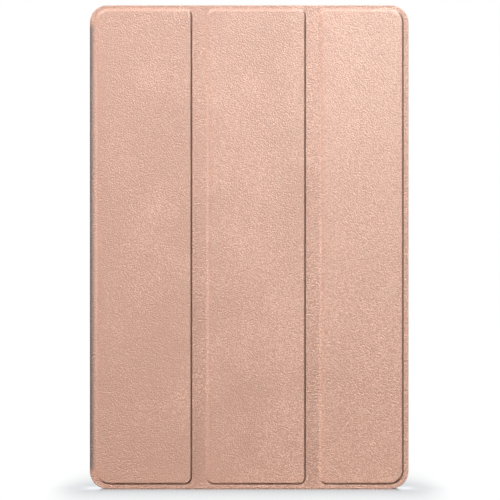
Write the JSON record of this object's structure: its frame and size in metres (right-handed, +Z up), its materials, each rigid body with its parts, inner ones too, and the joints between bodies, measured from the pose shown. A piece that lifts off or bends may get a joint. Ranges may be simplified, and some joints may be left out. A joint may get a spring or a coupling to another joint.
{
  "type": "tablet computer in a folio case",
  "caption": "Tablet computer in a leather-look folio case with a three-panel folding cover, standing upright on its short edge with the cover closed.",
  "frame": {"origin": "on the surface that the case stands on, under the middle of its closed outline", "axes": "+Z up along the long side, -Y out of the closed front cover, +X to the right when the cover is seen from the front, so the spine is at -X"},
  "size_m": [0.17, 0.013, 0.2577],
  "materials": {
    "leatherette": "pebbled leatherette with a soft pearl sheen",
    "microfibre": "brushed microfibre",
    "stiffener": "fibreboard",
    "case_plastic": "fine matt moulded plastic",
    "aluminium": "bead-blasted, anodised",
    "screen_glass": "polished, black printed border",
    "black_plastic": "moulded",
    "circuit": "solder mask",
    "steel": "stamped and plated",
    "battery_foil": "laminated pouch foil",
    "flex": "polyimide film",
    "clear_lens": "clear lens"
  },
  "bodies": {
    "tablet_and_tray": {"back_skin": "leatherette", "tray_shell": "case_plastic", "shield_can": "steel", "usb_port": "steel", "card_reader": "steel", "power_switch": "steel", "volume_switch_up": "steel", "volume_switch_down": "steel", "microphone": "steel", "frame_screw_1": "steel", "frame_screw_2": "steel", "frame_screw_3": "steel", "frame_screw_4": "steel", "frame_screw_5": "steel", "frame_screw_6": "steel", "rear_housing": "aluminium", "mid_frame": "aluminium", "camera_ring": "aluminium", "cover_glass": "screen_glass", "camera_lens": "screen_glass", "display_adhesive": "black_plastic", "processor": "black_plastic", "memory_chip": "black_plastic", "rear_camera": "black_plastic", "front_camera": "black_plastic", "magnet_sensor": "black_plastic", "speaker_lower_left": "black_plastic", "speaker_lower_right": "black_plastic", "speaker_upper_left": "black_plastic", "speaker_upper_right": "black_plastic", "display_panel": "battery_foil", "battery_cell_left": "battery_foil", "battery_cell_right": "battery_foil", "display_driver": "circuit", "main_board": "circuit", "lower_board": "circuit", "main_flex": "flex", "wifi_antenna_left": "flex", "wifi_antenna_right": "flex", "flash_lens": "clear_lens"},
    "spine": {"spine_skin": "leatherette", "spine_board": "stiffener"},
    "panel_1": {"panel_1_skin": "leatherette", "panel_1_board": "stiffener", "panel_1_lining": "microfibre"},
    "web_1": {"fold_strip_1": "leatherette"},
    "panel_2": {"panel_2_skin": "leatherette", "panel_2_board": "stiffener", "panel_2_lining": "microfibre"},
    "web_2": {"fold_strip_2": "leatherette"},
    "panel_3": {"panel_3_skin": "leatherette", "panel_3_board": "stiffener", "panel_3_lining": "microfibre", "cover_magnet_lower": "steel", "cover_magnet_upper": "steel"},
    "power_button": {"power_button": "aluminium"},
    "volume_rocker": {"volume_rocker": "aluminium"},
    "card_tray": {"card_tray": "aluminium"}
  },
  "joints": [
    {"name": "spine_hinge", "type": "hinge", "parent": "tablet_and_tray", "child": "spine", "pos_m": [-0.0841, 0.0056, 0], "axis": [0, 0, -1], "range_deg": [0, 180]},
    {"name": "cover_hinge", "type": "hinge", "parent": "spine", "child": "panel_1", "pos_m": [-0.0841, -0.0056, 0], "axis": [0, 0, -1], "range_deg": [0, 180]},
    {"name": "fold_1", "type": "hinge", "parent": "panel_1", "child": "web_1", "pos_m": [-0.0294, -0.0051, 0], "axis": [0, 0, 1], "range_deg": [-60, 0]},
    {"name": "fold_1_far", "type": "hinge", "parent": "web_1", "child": "panel_2", "pos_m": [-0.024, -0.0051, 0], "axis": [0, 0, 1], "range_deg": [-60, 0]},
    {"name": "fold_2", "type": "hinge", "parent": "panel_2", "child": "web_2", "pos_m": [0.0312, -0.0051, 0], "axis": [0, 0, 1], "range_deg": [-60, 0]},
    {"name": "fold_2_far", "type": "hinge", "parent": "web_2", "child": "panel_3", "pos_m": [0.0361, -0.0051, 0], "axis": [0, 0, 1], "range_deg": [-60, 0]},
    {"name": "power_press", "type": "slide", "parent": "tablet_and_tray", "child": "power_button", "axis": [-1, 0, 0], "range_m": [0, 0.0003], "stiffness_N_per_m": 4000},
    {"name": "volume_rock", "type": "hinge", "parent": "tablet_and_tray", "child": "volume_rocker", "pos_m": [0.0828, 0.0017, 0.2127], "axis": [0, 1, 0], "range_deg": [-1.2, 1.2], "stiffness_Nm_per_rad": 0.9},
    {"name": "card_slide", "type": "slide", "parent": "tablet_and_tray", "child": "card_tray", "axis": [1, 0, 0], "range_m": [0, 0.018]}
  ],
  "couplings": [
    {"joint": "fold_1_far", "follows": "fold_1", "ratio": 1},
    {"joint": "fold_2_far", "follows": "fold_2", "ratio": 1}
  ]
}
